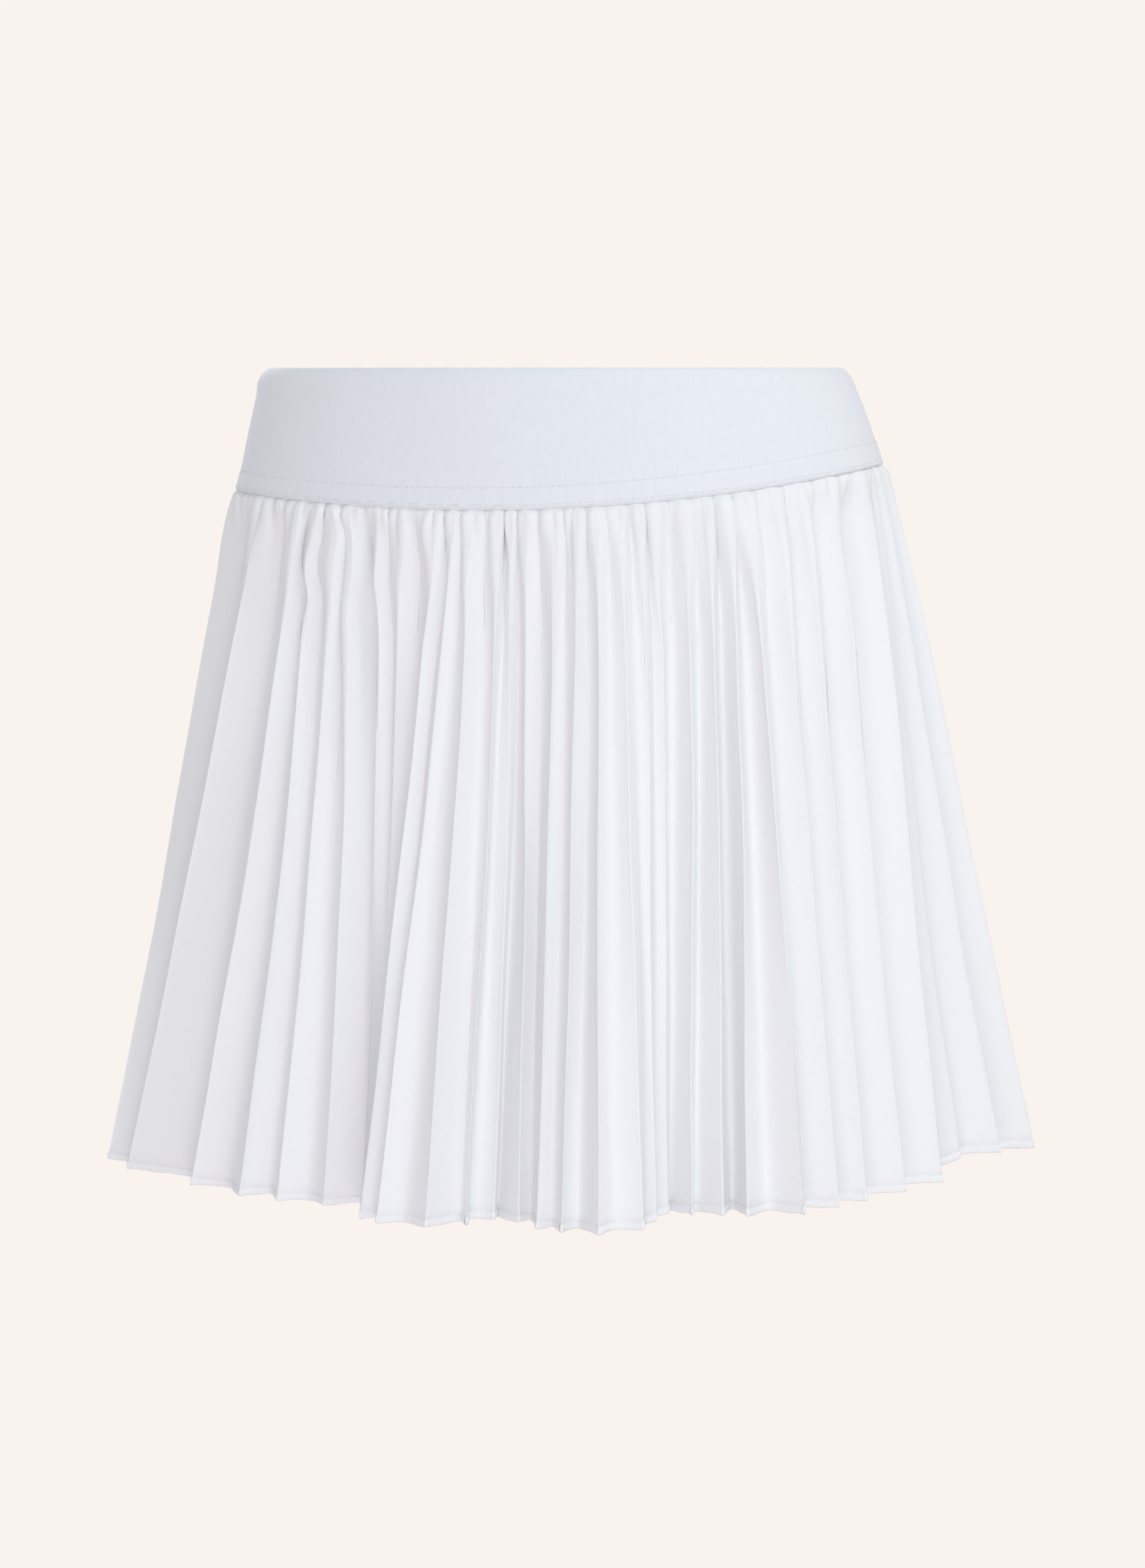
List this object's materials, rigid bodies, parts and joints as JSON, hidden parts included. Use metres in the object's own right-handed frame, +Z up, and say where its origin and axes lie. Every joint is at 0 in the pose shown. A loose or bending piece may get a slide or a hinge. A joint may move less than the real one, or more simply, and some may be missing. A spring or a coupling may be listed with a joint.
{
  "type": "pleated tennis skirt",
  "caption": "Short pleated tennis skirt with a deep elastic waistband, filled out as worn, with its waist and hem open.",
  "frame": {"origin": "centre of the waist opening, halfway down the waistband", "axes": "+X to the skirt's side on the viewer's right as seen from the front, -Y out of the front, +Z up through the waist"},
  "size_m": [0.3941, 0.3218, 0.3447],
  "materials": {
    "elastic_knit": "smooth matte elastic knit, cool white",
    "pleated_weave": "matte fine plain weave with pressed pleats, white"
  },
  "bodies": {
    "root": {"waistband_front": "elastic_knit", "waistband_back": "elastic_knit", "skirt_front": "pleated_weave", "skirt_back": "pleated_weave"}
  },
  "joints": []
}
